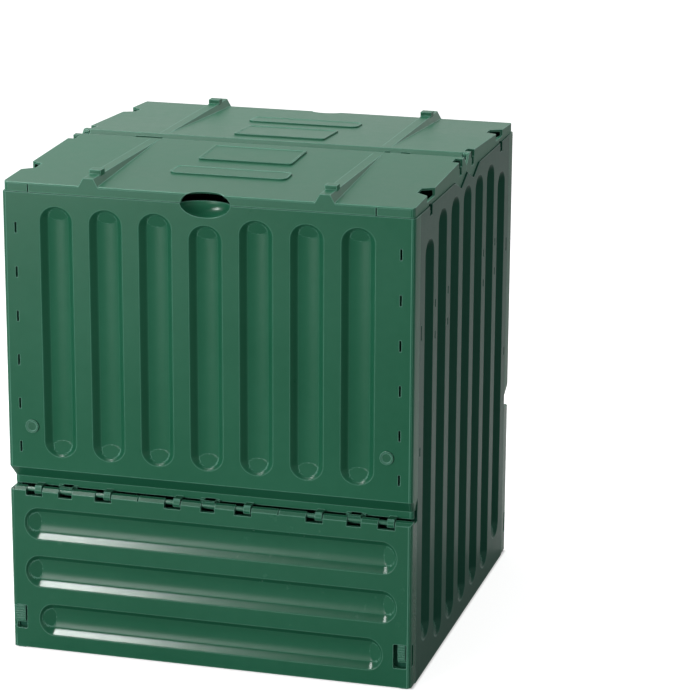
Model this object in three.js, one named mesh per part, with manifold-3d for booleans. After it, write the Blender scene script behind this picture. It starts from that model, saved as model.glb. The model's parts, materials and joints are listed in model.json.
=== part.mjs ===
// A square compost bin with a split lid and two emptying flaps.
// Millimetres, +Z up. The origin is on the ground in the middle of the footprint, the front faces -Y.
import * as THREE from 'three';
import { mergeVertices } from 'three/addons/utils/BufferGeometryUtils.js';
import Module from 'manifold-3d';

const wasm = await Module();
wasm.setup();

// Body and walls
const width = 700;
const depth = 718;
const wallTop = 799.4;
const wall = 5;
const cornerRadius = 7;
const returnDepth = 33;
const returnGap = 0.6;
const halfWidth = width / 2;
const halfDepth = depth / 2;
const returnEnd = halfDepth - returnDepth;

// Clearances
const touch = 0.3;
const overrun = 2;
const weld = 0.001;

// Band and strip below the front wall, above the flap
const bandTop = 326;
const bandTall = 21.5;
const stripTall = 12.7;
const bandInX = 2.6;
const bandInY = 20;
const bandBottom = bandTop - bandTall;
const stripBottom = bandBottom - stripTall;

// Flap and its hinge
const flapBottom = 3;
const hingeIn = 9;
const hingeDrop = 5.8;
const hingeZ = stripBottom - hingeDrop;
const creaseDrop = 1;
const knuckleRadius = 6;
const knuckleDrop = 12;
const knuckleInset = 9;
const flapReturnTop = hingeZ - creaseDrop;
const rodRadius = 4;
const hookInner = 4.5;
const hookOuter = 8.5;
const hookWide = 12;
const hookAside = 6.8;
const hookTurn = [100, 260];
const saddleWide = 22;
const saddleTurn = [120, -60];
const saddleRoot = 33;
const hookNotch = 29;
const saddleNotch = 24;
const notchFloor = 9.3;
const hookShares = [0.0875, 0.2625, 0.4375];
const saddleShare = 0.3586;
const slitShare = 0.1743;
const slitWide = 2;
const slitDeep = 8;
const neckLow = 4.6;
const neckHigh = 8.4;
const neckFront = 5;
const neckInto = 2.5;
const rootGap = 0.6;
const saddleWindow = { half: 9, from: 2, low: 3, high: 9.4 };

// Flutes. Each row has its outer flutes at a distance from the ends, and the others evenly between them.
const fluteWideShare = 0.667;
const fluteDeep = 15;
const fluteRim = 3.5;
const fluteEnd = 26;
const bowlPower = 0.8;
const tipOverShare = 1.15;
const flatShare = 0.05;
const wallFlutes = { count: 7, edge: 93.8, drop: 20.4, middleDrop: 34.4, rise: 23 };
const sideFlutes = { count: 7, edge: 95, drop: 22.4, outerDrop: 53.4, rise: 28, outerRise: 55 };
const flapFlutes = { count: 3, lowest: 57, highestDrop: 58.5, inset: 25, lowInset: 48 };
const wallPitch = (halfWidth - wallFlutes.edge) / ((wallFlutes.count - 1) / 2);
const sidePitch = (halfDepth - sideFlutes.edge) / ((sideFlutes.count - 1) / 2);
const flapPitch = (hingeZ - flapFlutes.highestDrop - flapFlutes.lowest) / (flapFlutes.count - 1);

// Corner posts of the side walls, and the slots through the front wall and the post behind it
const postWall = 4.2;
const postFlange = 4;
const postReach = 58;
const postLowReach = 20;
const postFrom = halfWidth - postReach;
const postLowFrom = halfWidth - postLowReach;
const postFootRise = 2.5;
const postFoot = bandTop + postFootRise;
const postHingeDrop = 24;
const postGapLow = hingeZ - postHingeDrop;
const joggle = 5.4;
const slot = { inset: 23.2, drop: 59.9, rise: 37, count: 6, wide: 3.4, tall: 18 };
const slotX = halfWidth - slot.inset;
const slotTop = wallTop - slot.drop;
const slotPitch = (slotTop - bandTop - slot.rise) / (slot.count - 1);

// Pegs
const peg = { inset: 14, rise: 74, shank: 5, head: 9, headTall: 2.5, barb: 6.2, barbLong: 5, tip: 3.5 };
const pegX = postFrom + peg.inset;
const pegZ = bandTop + peg.rise;

// Scoop for the fingers under the lid's edge
const scoop = { halfWidth: 42, deep: 28, halfHeight: 21.5 };

// Inward ledges along the top of the walls
const ledgeWide = 10;
const ledgeTall = 4;

// Latches of the flap
const latch = {
  inset: 16.75, travel: 9, plateHalf: 10.2, plateLow: 46.3, plateHigh: 84, plateThick: 2.7,
  gripHalf: 6.5, gripLow: 50, gripHigh: 77.5, gripShort: 3, nubHalf: 2.5, nubZ: 59, nubTall: 3, nubOut: 0.7,
  neckHalf: 4, neckLow: 67, neckHigh: 73, headHalf: 6.5, headRise: 1, headThick: 4,
};
const latchX = halfWidth - latch.inset;
const lugThick = 4;
const lugBack = 11.5;
const lugReach = 32;
const lugIn = halfWidth - lugReach;
const lugLow = 20;
const lugHigh = 100;
const keySide = 0.7;
const keyRise = 1.5;
const zoneLow = 27;
const zoneHigh = 92;
const windowSpare = 0.95;
const windowLow = 37;
const windowHigh = 79;
const windowRound = 2.2;
const cornerSlot = { low: 39, high: 77, deep: 17 };
const railWall = 3;
const railLip = 2;
const lipOver = 1.5;
const stopTall = 3;

// Lid halves
const lidIn = 2.5;
const lidWall = 4;
const lidBottom = wallTop + touch;
const eaveTall = 16;
const eaveTop = lidBottom + eaveTall;
const eaveRound = 3;
const crestY = 20;
const crestTall = 29.3;
const crestZ = lidBottom + crestTall;
const seamGap = 0.3;
const seamTopTall = 12.3;
const seamBottomTall = 1.3;
const seamTop = lidBottom + seamTopTall;
const seamBottom = lidBottom + seamBottomTall;
const tongueTipY = 45;
const tongueDrop = 16.7;
const tongueTipZ = lidBottom - tongueDrop;
const tongueFrom = 85;
const tongueSweep = 2.3;
const studDrop = 5;
const studZ = crestZ - studDrop;
const studRadius = 4;
const earClear = 1;
const ear = { inset: 14, thick: 6, half: 30, drop: 62, topDrop: 1, dipHalf: 11, dipDrop: 24, dipFloor: 7, webDrop: 46 };
const earFrom = halfWidth - ear.inset;
const earTo = earFrom + ear.thick;
const earTop = studZ - ear.topDrop;
const sideSlot = { from: 32, to: 57, inward: 12.5, rise: 3.3, narrow: 4.5 };
const hookPlaceShare = 0.7187;
const hookY = halfDepth * hookPlaceShare;
const hookTab = { half: 5, thick: 3.7, drop: 13.7, toe: 4, flangeRise: 2.3 };
const lidNotch = { before: 36, after: 20, innerBefore: 24, innerAfter: 4, inward: 20, rise: 8.3 };
const rib = { placeShare: 0.2857, topHalf: 8.5, baseHalf: 16, sink: 0.2, wall: 3 };
const ribX = width * rib.placeShare;
const ribTop = crestZ - rib.sink;
const stop = { half: 10, from: 55, to: 37, tall: 7.2 };
const eaveSlitShares = [-0.4357, 0.4064];
const eaveSlitWide = 2;
const crestHoleShares = [[0.2843, 0.3557], [-0.3014, -0.2857], [-0.3514, -0.3257]];
const crestHole = { from: 5, to: 14 };

// Side wall details
const footWide = 25;
const footTall = 5;
const footInset = 49;
const sideLedge = { wide: 12, from: 94, inset: 43 };
const hookSlot = { wide: 17, drop: 16.4 };
const vent = { wide: 5, tallShare: 0.0175, lands: [-3, -2, 1, 2], upShares: [0.7845, 0.717], endInset: 45 };
const endVentShares = [[0.7512, 0.032], [0.5, 0.02]];

// Facets
const cornerSteps = 3;
const rimSteps = 2;
const bowlSteps = 8;
const bulgeSteps = 6;
const hookSteps = 4;
const knuckleSteps = 4;
const roundSides = 12;
const pegSides = 10;
const windowSteps = 2;
const scoopSides = 24;
const scoopRings = 10;

const inPlan = new THREE.Matrix4();
const inSide = new THREE.Matrix4().makeBasis(
  new THREE.Vector3(0, 1, 0), new THREE.Vector3(0, 0, 1), new THREE.Vector3(1, 0, 0));
const inFront = new THREE.Matrix4().makeBasis(
  new THREE.Vector3(1, 0, 0), new THREE.Vector3(0, 0, 1), new THREE.Vector3(0, -1, 0));

// A closed geometry as a solid that can be joined and cut
function toSolid(geometry) {
  geometry.deleteAttribute('normal');
  geometry.deleteAttribute('uv');
  const merged = mergeVertices(geometry, weld);
  return new wasm.Manifold(new wasm.Mesh({
    numProp: 3,
    vertProperties: new Float32Array(merged.attributes.position.array),
    triVerts: new Uint32Array(merged.index.array),
  }));
}

function toGeometry(solid) {
  const mesh = solid.getMesh();
  const geometry = new THREE.BufferGeometry();
  geometry.setAttribute('position', new THREE.BufferAttribute(mesh.vertProperties, 3));
  geometry.setIndex(new THREE.BufferAttribute(mesh.triVerts, 1));
  geometry.computeVertexNormals();
  return geometry;
}

const joined = (solids) => solids.reduce((sum, next) => sum.add(next));
const cut = (solid, cutters) => cutters.reduce((rest, next) => rest.subtract(next), solid);

// An outline raised from low to high, square to its own plane
function slab(points, low, high, plane) {
  const shape = new THREE.Shape(points.map(([u, v]) => new THREE.Vector2(u, v)));
  const geometry = new THREE.ExtrudeGeometry(shape, { depth: high - low, bevelEnabled: false });
  geometry.translate(0, 0, low);
  geometry.applyMatrix4(plane);
  return toSolid(geometry);
}

const planSlab = (points, low, high) => slab(points, low, high, inPlan);
const sideSlab = (points, low, high) => slab(points, low, high, inSide);
const frontSlab = (points, low, high) => slab(points, -high, -low, inFront);

function block([x0, x1], [y0, y1], [z0, z1]) {
  const box = new THREE.BoxGeometry(x1 - x0, y1 - y0, z1 - z0);
  box.translate((x0 + x1) / 2, (y0 + y1) / 2, (z0 + z1) / 2);
  return toSolid(box);
}

// A round bar along X, from low to high
function barX(radius, [low, high], y, z) {
  const bar = new THREE.CylinderGeometry(radius, radius, high - low, roundSides);
  bar.rotateZ(Math.PI / 2);
  bar.translate((low + high) / 2, y, z);
  return toSolid(bar);
}

// A round bar along Y, from low to high
function barY(radius, [low, high], x, z) {
  const bar = new THREE.CylinderGeometry(radius, radius, high - low, roundSides);
  bar.translate(x, (low + high) / 2, z);
  return toSolid(bar);
}

// A closed body through outlines with the same number of points, one for each level
function loft(outlines, levels, plane) {
  const flat = outlines[1].map(([u, v]) => new THREE.Vector2(u, v));
  const rings = THREE.ShapeUtils.area(flat) < 0 ? outlines.map((ring) => [...ring].reverse()) : outlines;
  const count = rings[0].length;
  const last = (rings.length - 1) * count;
  const indices = [];
  for (let ring = 0; ring < rings.length - 1; ring += 1) {
    for (let i = 0; i < count; i += 1) {
      const a = ring * count + i;
      const b = ring * count + ((i + 1) % count);
      indices.push(a, b, b + count, a, b + count, a + count);
    }
  }
  const endFaces = (ring) => THREE.ShapeUtils.triangulateShape(ring.map(([u, v]) => new THREE.Vector2(u, v)), []);
  endFaces(rings[0]).forEach(([a, b, c]) => indices.push(a, c, b));
  endFaces(rings[rings.length - 1]).forEach(([a, b, c]) => indices.push(last + a, last + b, last + c));
  const places = rings.flatMap((ring, i) => ring.flatMap(([u, v]) => [u, v, levels[i]]));
  const geometry = new THREE.BufferGeometry();
  geometry.setAttribute('position', new THREE.BufferAttribute(new Float32Array(places), 3));
  geometry.setIndex(indices);
  geometry.applyMatrix4(plane);
  return toSolid(geometry);
}

// A point of a bowl a little squarer than an ellipse, at a turn from 0 to half a circle
function bowlPoint(turn) {
  const across = Math.cos(turn);
  return [Math.sign(across) * Math.abs(across) ** bowlPower, Math.abs(Math.sin(turn)) ** bowlPower];
}

// The section of a flute: a bowl with rounded rims, as [across, into the wall]
function channelOutline(wide, shift) {
  const half = [];
  for (let i = 1; i <= rimSteps; i += 1) {
    const turn = (i / rimSteps) * (Math.PI / 2);
    half.push([wide / 2 - fluteRim * Math.sin(turn), fluteRim - fluteRim * Math.cos(turn)]);
  }
  const [firstAcross, firstIn] = half[0];
  half.unshift([firstAcross + firstIn + overrun, -overrun]);
  const bowl = [];
  for (let i = 1; i < bowlSteps; i += 1) {
    const turn = (i / bowlSteps) * Math.PI;
    const [across, into] = bowlPoint(turn);
    bowl.push([(wide / 2 - fluteRim) * across, fluteRim + (fluteDeep - fluteRim) * into]);
  }
  const other = half.map(([across, into]) => [-across, into]).reverse();
  return [...half, ...bowl, ...other].map(([across, into]) => [across, into - shift]);
}

// The section of the same flute's back, from the middle of the wall
function bulgeOutline(wide, riseShare) {
  const outline = [];
  for (let i = 0; i <= bulgeSteps; i += 1) {
    const turn = (i / bulgeSteps) * Math.PI;
    const [across, into] = bowlPoint(turn);
    outline.push([(wide / 2 - fluteRim + wall) * across, wall / 2 + (fluteDeep + wall / 2) * into * riseShare]);
  }
  return outline;
}

// A flute between its two tips, as the bulge to join on and the channel to cut
function flute(wide, low, high, put, plane) {
  const over = fluteEnd * tipOverShare;
  const tips = [low + fluteEnd - over, low + fluteEnd, high - fluteEnd, high - fluteEnd + over];
  const shifts = [fluteDeep * tipOverShare, 0, 0, fluteDeep * tipOverShare];
  const channel = loft(shifts.map((shift) => channelOutline(wide, shift).map(put)), tips, plane);
  const rise = fluteDeep + wall / 2;
  const fade = fluteEnd * (1 - flatShare) / (1 - wall / 2 / rise);
  const fades = [low + fluteEnd - fade, low + fluteEnd, high - fluteEnd, high - fluteEnd + fade];
  const rises = [flatShare, 1, 1, flatShare];
  const bulge = loft(rises.map((share) => bulgeOutline(wide, share).map(put)), fades, plane);
  return { bulge, channel };
}

// Joins the bulges on, then cuts the channels
const fluted = (body, flutes) => cut(joined([body, ...flutes.map((one) => one.bulge)]),
  flutes.map((one) => one.channel));

// The C-shaped plan of a wall or flap, with rounded front corners
function cPath(halfX, faceY, radius) {
  const right = [[halfX, -returnEnd]];
  for (let i = 0; i <= cornerSteps; i += 1) {
    const turn = (i / cornerSteps) * (Math.PI / 2);
    const x = halfX - radius + radius * Math.cos(turn);
    right.push([x, -faceY + radius - radius * Math.sin(turn)]);
  }
  return [...right, ...right.map(([x, y]) => [-x, y]).reverse()];
}

const cOutline = (halfX, faceY) => [
  ...cPath(halfX, faceY, cornerRadius),
  ...cPath(halfX - wall, faceY - wall, cornerRadius - wall).reverse(),
];

function scoopBall(grow) {
  const ball = new THREE.SphereGeometry(1, scoopSides, scoopRings);
  ball.scale(scoop.halfWidth + grow, scoop.deep + grow, scoop.halfHeight + grow);
  ball.translate(0, -halfDepth, wallTop);
  return toSolid(ball);
}

// Part of a ring about the hinge axis, between two angles from +Y towards +Z
function hingeRing([fromDegrees, toDegrees]) {
  const points = [];
  for (const radius of [hookInner, hookOuter]) {
    const edge = [];
    for (let i = 0; i <= hookSteps; i += 1) {
      const turn = THREE.MathUtils.degToRad(fromDegrees + (toDegrees - fromDegrees) * (i / hookSteps));
      edge.push([-halfDepth + hingeIn + radius * Math.cos(turn), hingeZ + radius * Math.sin(turn)]);
    }
    points.push(...(radius === hookInner ? edge : edge.reverse()));
  }
  return points;
}

// Where the notches for the hinge hooks and saddles stand along X
const hookPlaces = hookShares.flatMap((share) => [-share * width, share * width]);
const saddlePlaces = [-saddleShare * width, 0, saddleShare * width];

// Hooks round the front of the flap's rod and saddles behind it, on necks under the strip
function hingeHolders() {
  const axisY = -halfDepth + hingeIn;
  const stripIn = -halfDepth + bandInY + neckInto;
  const neckZ = [hingeZ + neckLow, hingeZ + neckHigh];
  const along = (x, wide) => [x - wide / 2, x + wide / 2];
  const hooks = hookPlaces.flatMap((x) => {
    const span = along(x + hookAside, hookWide);
    return [sideSlab(hingeRing(hookTurn), ...span), block(span, [axisY - neckFront, stripIn], neckZ)];
  });
  const saddles = saddlePlaces.flatMap((x) => {
    const span = along(x, saddleWide);
    const root = axisY + knuckleRadius + rootGap;
    return [
      sideSlab(hingeRing(saddleTurn), ...span),
      block(span, [axisY, root + overrun], neckZ),
      block(along(x, saddleRoot), [root, stripIn], neckZ),
    ];
  });
  return [...hooks, ...saddles];
}

// The window above each saddle, and the strip's missing returns
function stripOpenings() {
  const axisY = -halfDepth + hingeIn;
  const behind = -halfDepth + bandInY + wall;
  const windows = saddlePlaces.map((x) => block([x - saddleWindow.half, x + saddleWindow.half],
    [axisY + saddleWindow.from, behind + overrun], [hingeZ + saddleWindow.low, hingeZ + saddleWindow.high]));
  const returns = [-1, 1].map((side) => block(
    [side * (halfWidth - bandInX - wall - overrun), side * (halfWidth + overrun)].sort((a, b) => a - b),
    [behind, -returnEnd + overrun], [stripBottom - overrun, bandBottom]));
  return [...windows, ...returns];
}

function wallLedges() {
  const inner = scoop.halfWidth + wall;
  const outer = postFrom - overrun;
  const y = [-halfDepth + wall / 2, -halfDepth + wall + ledgeWide];
  const z = [wallTop - ledgeTall, wallTop];
  return [block([inner, outer], y, z), block([-outer, -inner], y, z)];
}

// The slots along one corner, through a depth given from the middle of the bin
function slotHoles(x, y, spare) {
  const holes = [];
  for (let i = 0; i < slot.count; i += 1) {
    const z = slotTop - i * slotPitch;
    holes.push(block([x - slot.wide / 2 - spare, x + slot.wide / 2 + spare], y,
      [z - slot.tall / 2 - spare, z + slot.tall / 2 + spare]));
  }
  return holes;
}

function buildWall() {
  const full = cOutline(halfWidth, halfDepth);
  const inset = cOutline(halfWidth - bandInX, halfDepth - bandInY);
  const shell = loft([inset, inset, full, full], [stripBottom, bandBottom, bandTop, wallTop], inPlan);
  const flutes = [];
  const middle = (wallFlutes.count - 1) / 2;
  for (let i = 0; i < wallFlutes.count; i += 1) {
    const x = (i - middle) * wallPitch;
    const top = wallTop - (i === middle ? wallFlutes.middleDrop : wallFlutes.drop);
    flutes.push(flute(wallPitch * fluteWideShare, bandTop + wallFlutes.rise, top,
      ([across, into]) => [x + across, -halfDepth + into], inPlan));
  }
  const dish = scoopBall(wall).intersect(block([-halfWidth, halfWidth],
    [-halfDepth + wall / 2, 0], [bandTop, wallTop]));
  const body = fluted(joined([shell, dish, ...wallLedges(), ...hingeHolders()]), flutes);
  const pegHoles = [-pegX, pegX].map((x) => barY(peg.shank + touch,
    [-halfDepth - overrun, -halfDepth + wall + overrun], x, pegZ));
  const slots = [-slotX, slotX].flatMap((x) => slotHoles(x,
    [-halfDepth - overrun, -halfDepth + wall + touch / 2], 0));
  return cut(body, [scoopBall(0), ...slots, ...pegHoles, ...stripOpenings()]);
}

// The flap's rolled top edge round the rod, with a crease at its front
function knuckleOutline() {
  const outline = [[-hingeIn, -knuckleDrop], [-hingeIn, -creaseDrop]];
  const start = Math.PI + Math.atan2(creaseDrop, hingeIn)
    - Math.acos(knuckleRadius / Math.hypot(hingeIn, creaseDrop));
  for (let i = 0; i <= knuckleSteps; i += 1) {
    const turn = start - (start + Math.PI / 2) * (i / knuckleSteps);
    outline.push([knuckleRadius * Math.cos(turn), knuckleRadius * Math.sin(turn)]);
  }
  outline.push([-hingeIn + wall, -knuckleDrop]);
  return outline.map(([y, z]) => [-halfDepth + hingeIn + y, hingeZ + z]);
}

function flapNotches() {
  const y = [-halfDepth - overrun, -halfDepth + 2 * hingeIn + overrun];
  const top = hingeZ + knuckleRadius + overrun;
  const notch = (x, wide, low) => block([x - wide / 2, x + wide / 2], y, [low, top]);
  return [
    ...hookPlaces.map((x) => notch(x, hookNotch, hingeZ - notchFloor)),
    ...saddlePlaces.map((x) => notch(x, saddleNotch, hingeZ - notchFloor)),
    ...[-slitShare, slitShare].map((share) => notch(share * width, slitWide, hingeZ + knuckleRadius - slitDeep)),
  ];
}

// Rails, lips and stops that hold one latch's plate against the flap's inner face
function latchGuides(side) {
  const x = (from, to) => [side * from, side * to].sort((a, b) => a - b);
  const skin = -halfDepth + wall;
  const lipY = skin + touch + latch.plateThick + touch;
  const low = latch.plateLow - latch.travel - touch;
  const high = latch.plateHigh + touch;
  const tall = [low - stopTall, high + stopTall];
  const inner = latchX - latch.plateHalf;
  const outer = latchX + latch.plateHalf;
  const skinY = [skin - wall / 2, lipY + railLip];
  return [
    block(x(inner - touch - railWall, inner - touch), skinY, tall),
    block(x(inner - touch - railWall, inner + lipOver), [lipY, lipY + railLip], tall),
    block(x(outer - lipOver, halfWidth - wall / 2), [lipY, lipY + railLip], tall),
    block(x(inner - touch - railWall, halfWidth - wall / 2), skinY, [low - stopTall, low]),
    block(x(inner - touch - railWall, halfWidth - wall / 2), skinY, [high, high + stopTall]),
  ];
}

// A rectangle with its corners rounded in a few straight steps
function roundedOutline([u0, u1], [v0, v1], radius) {
  const corners = [[u1, v1, -1, -1, 0], [u0, v1, 1, -1, 1], [u0, v0, 1, 1, 2], [u1, v0, -1, 1, 3]];
  return corners.flatMap(([u, v, inU, inV, quarter]) => {
    const points = [];
    for (let i = 0; i <= windowSteps; i += 1) {
      const turn = (quarter + i / windowSteps) * (Math.PI / 2);
      points.push([u + radius * (inU + Math.cos(turn)), v + radius * (inV + Math.sin(turn))]);
    }
    return points;
  });
}

function latchOpenings(side) {
  const x = (from, to) => [side * from, side * to].sort((a, b) => a - b);
  const half = latch.plateHalf - windowSpare;
  return [
    frontSlab(roundedOutline(x(latchX - half, latchX + half), [windowLow, windowHigh], windowRound),
      -halfDepth - overrun, -halfDepth + wall + touch / 2),
    block(x(halfWidth - wall - touch / 2, halfWidth + overrun),
      [-halfDepth + cornerRadius, -halfDepth + cornerSlot.deep], [cornerSlot.low, cornerSlot.high]),
  ];
}

function buildFlap() {
  const shell = planSlab(cOutline(halfWidth, halfDepth), flapBottom, flapReturnTop);
  const footprint = planSlab(cPath(halfWidth, halfDepth, cornerRadius), flapBottom, wallTop);
  const knuckle = sideSlab(knuckleOutline(), -halfWidth + knuckleInset, halfWidth).intersect(footprint);
  const flutes = [];
  for (let i = 0; i < flapFlutes.count; i += 1) {
    const z = flapFlutes.lowest + i * flapPitch;
    const reach = halfWidth - (i === 0 ? flapFlutes.lowInset : flapFlutes.inset);
    flutes.push(flute(flapPitch * fluteWideShare, -reach, reach,
      ([across, into]) => [-halfDepth + into, z + across], inSide));
  }
  const sides = [-1, 1];
  const body = fluted(joined([shell, knuckle, ...sides.flatMap(latchGuides)]), flutes);
  const open = cut(body, [...flapNotches(), ...sides.flatMap(latchOpenings)]);
  const rodEnd = Math.max(...hookPlaces) + hookNotch / 2 + overrun;
  return open.add(barX(rodRadius, [-rodEnd, rodEnd], -halfDepth + hingeIn, hingeZ));
}

function buildLatch() {
  const back = -halfDepth + wall + touch;
  const plate = [back, back + latch.plateThick];
  const lugFace = -halfDepth + lugBack + lugThick;
  const head = [lugFace + touch, lugFace + touch + latch.headThick];
  const face = -halfDepth + latch.gripShort;
  const into = plate[0] + latch.plateThick / 2;
  const gripZ = [latch.gripLow, latch.gripHigh];
  return joined([
    block([-latch.plateHalf, latch.plateHalf], plate, [latch.plateLow, latch.plateHigh]),
    block([-latch.gripHalf, latch.gripHalf], [face, into], gripZ),
    block([-latch.nubHalf, latch.nubHalf], [face - latch.nubOut, into],
      [latch.nubZ - latch.nubTall / 2, latch.nubZ + latch.nubTall / 2]),
    block([-latch.neckHalf, latch.neckHalf], [into, head[1]], [latch.neckLow, latch.neckHigh]),
    block([-latch.headHalf, latch.headHalf], head,
      [latch.neckLow - latch.headRise, latch.neckHigh + latch.headRise]),
  ]);
}

// The head, shank and barb of a peg, turned about its own axis
function buildPeg() {
  const grip = wall + touch + postFlange;
  const profile = [
    [0, -peg.headTall - touch], [peg.head / 2, -peg.headTall], [peg.head, -touch - peg.headTall / 3],
    [peg.head, -touch], [peg.shank, -touch], [peg.shank, grip + touch],
    [peg.barb, grip + touch], [peg.tip, grip + touch + peg.barbLong], [0, grip + touch + peg.barbLong],
  ];
  const geometry = new THREE.LatheGeometry(profile.map(([r, h]) => new THREE.Vector2(r, h)), pegSides);
  geometry.translate(0, -halfDepth, 0);
  return toSolid(geometry);
}

// The plan of the right side wall: panel, joggle, corner post and its flange
function sidePlan() {
  const panelEnd = returnEnd - returnGap;
  const postOut = halfWidth - wall - touch;
  const postIn = postOut - postWall;
  const postEnd = halfDepth - wall - touch;
  const bevel = cornerRadius - wall;
  const half = [
    [halfWidth, panelEnd], [postOut, panelEnd], [postOut, postEnd - bevel], [postOut - bevel, postEnd],
    [postFrom, postEnd],
    [postFrom, postEnd - postFlange], [postIn, postEnd - postFlange], [postIn, panelEnd - joggle],
    [halfWidth - wall, panelEnd - joggle - postWall],
  ];
  return [...half, ...half.map(([x, y]) => [x, -y]).reverse()];
}

// Cuts that leave the posts out where the flap's hinge is, and shorten their lower flanges
function postCuts(end) {
  const y = (from, to) => [end * from, end * to].sort((a, b) => a - b);
  const panelEnd = returnEnd - returnGap;
  const beyond = halfDepth + overrun;
  const inner = postFrom - overrun;
  const outer = halfWidth + overrun;
  const flangeIn = halfDepth - wall - touch - postFlange;
  return [
    block([inner, outer], y(panelEnd, beyond), [postGapLow, postFoot]),
    block([inner, postLowFrom], y(flangeIn - touch, beyond), [-overrun, postGapLow + overrun]),
    block([inner, outer], y(halfDepth - lugBack, beyond), [zoneLow, zoneHigh]),
  ];
}

// The lug behind each latch
function lugBody(end) {
  const y = (from, to) => [end * from, end * to].sort((a, b) => a - b);
  const face = halfDepth - lugBack;
  return block([lugIn, halfWidth - wall - touch], y(face - lugThick, face), [lugLow, lugHigh]);
}

// Its keyhole: the latch's head passes the wide part and is held behind the narrow part
function lugKey(end) {
  const y = (from, to) => [end * from, end * to].sort((a, b) => a - b);
  const face = halfDepth - lugBack;
  const through = y(face - lugThick - overrun, face + overrun);
  const wideHalf = latch.headHalf + keySide;
  const narrowHalf = latch.neckHalf + keySide;
  const low = latch.neckLow - latch.headRise - keyRise;
  return [
    block([latchX - wideHalf, latchX + wideHalf], through,
      [low, latch.neckHigh + latch.headRise + keyRise]),
    block([latchX - narrowHalf, latchX + narrowHalf], through,
      [latch.neckLow - latch.travel - keyRise, low + keyRise]),
  ];
}

// The plate that carries the lid's studs, with two open seats and a dip between them
function studEar() {
  const low = studZ - ear.drop;
  const dipLow = studZ - ear.dipDrop;
  const plate = block([earFrom, earTo], [-ear.half, ear.half], [low, earTop]);
  const dip = sideSlab([[-ear.dipHalf, earTop + overrun], [-ear.dipFloor, dipLow],
    [ear.dipFloor, dipLow], [ear.dipHalf, earTop + overrun]], earFrom - overrun, earTo + overrun);
  const seats = [-crestY, crestY].map((y) => barX(studRadius + touch,
    [earFrom - overrun, earTo + overrun], y, studZ));
  const web = block([earTo - overrun, halfWidth - wall / 2], [-ear.half, ear.half], [low, studZ - ear.webDrop]);
  return cut(plate, [dip, ...seats]).add(web);
}

// The notch in the top edge for one lid tongue, with room for its swing
function tongueNotch(end) {
  const tip = tongueTipZ - tongueSweep;
  const outerSlope = (lidBottom - tongueTipZ) / (tongueFrom - tongueTipY);
  const innerSlope = (seamBottom - tongueTipZ) / (tongueTipY - seamGap);
  const above = wallTop + overrun;
  const outline = [
    [end * (tongueTipY + (above - tip) / outerSlope), above], [end * tongueTipY, tip],
    [0, tip + tongueTipY * innerSlope], [0, above],
  ];
  return sideSlab(outline, (earTo + halfWidth - wall) / 2, halfWidth + overrun);
}

function sideLedges(end) {
  const x = [halfWidth - wall - sideLedge.wide, halfWidth - wall / 2];
  const z = [wallTop - ledgeTall, wallTop];
  const y = (from, to) => [end * from, end * to].sort((a, b) => a - b);
  const spare = hookSlot.wide / 2 + overrun;
  return [
    block(x, y(sideLedge.from, hookY - spare), z),
    block(x, y(hookY + spare, halfDepth - sideLedge.inset), z),
  ];
}

function sideOpenings() {
  const x = [halfWidth - wall - overrun, halfWidth + overrun];
  const hooks = [-hookY, hookY].map((y) => block(x,
    [y - hookSlot.wide / 2, y + hookSlot.wide / 2], [wallTop - hookSlot.drop, wallTop + overrun]));
  const landVents = vent.lands.flatMap((land) => vent.upShares.map((up) => [
    (land + 1 / 2) * sidePitch, up, vent.tallShare]));
  const endVents = [-1, 1].flatMap((end) => endVentShares.map(([up, tall]) => [
    end * (halfDepth - vent.endInset), up, tall]));
  const vents = [...landVents, ...endVents].map(([y, up, tall]) => block(x,
    [y - vent.wide / 2, y + vent.wide / 2], [wallTop * (up - tall / 2), wallTop * (up + tall / 2)]));
  return [...hooks, ...vents];
}

function buildSide() {
  const ends = [-1, 1];
  const shell = cut(planSlab(sidePlan(), 0, wallTop), ends.flatMap(postCuts));
  const footEnd = halfDepth - footInset;
  const foot = block([halfWidth - wall - footWide, halfWidth - wall / 2], [-footEnd, footEnd], [0, footTall]);
  const flutes = [];
  const middle = (sideFlutes.count - 1) / 2;
  for (let i = 0; i < sideFlutes.count; i += 1) {
    const y = (i - middle) * sidePitch;
    const outer = Math.abs(i - middle) === middle;
    flutes.push(flute(sidePitch * fluteWideShare, outer ? sideFlutes.outerRise : sideFlutes.rise,
      wallTop - (outer ? sideFlutes.outerDrop : sideFlutes.drop),
      ([across, into]) => [halfWidth - into, y + across], inPlan));
  }
  const body = fluted(joined([shell, foot, studEar(), ...ends.map(lugBody),
    ...ends.flatMap(sideLedges)]), flutes);
  const holeY = halfDepth - wall - touch;
  const through = (end) => [end * (holeY + overrun), end * (holeY - postFlange - overrun)].sort((a, b) => a - b);
  const pegHoles = ends.map((end) => barY(peg.shank + touch, through(end), pegX, pegZ));
  const slots = ends.flatMap((end) => slotHoles(slotX, through(end), touch));
  return cut(body, [...ends.map(tongueNotch), ...ends.flatMap(lugKey), ...sideOpenings(), ...pegHoles, ...slots]);
}

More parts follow.
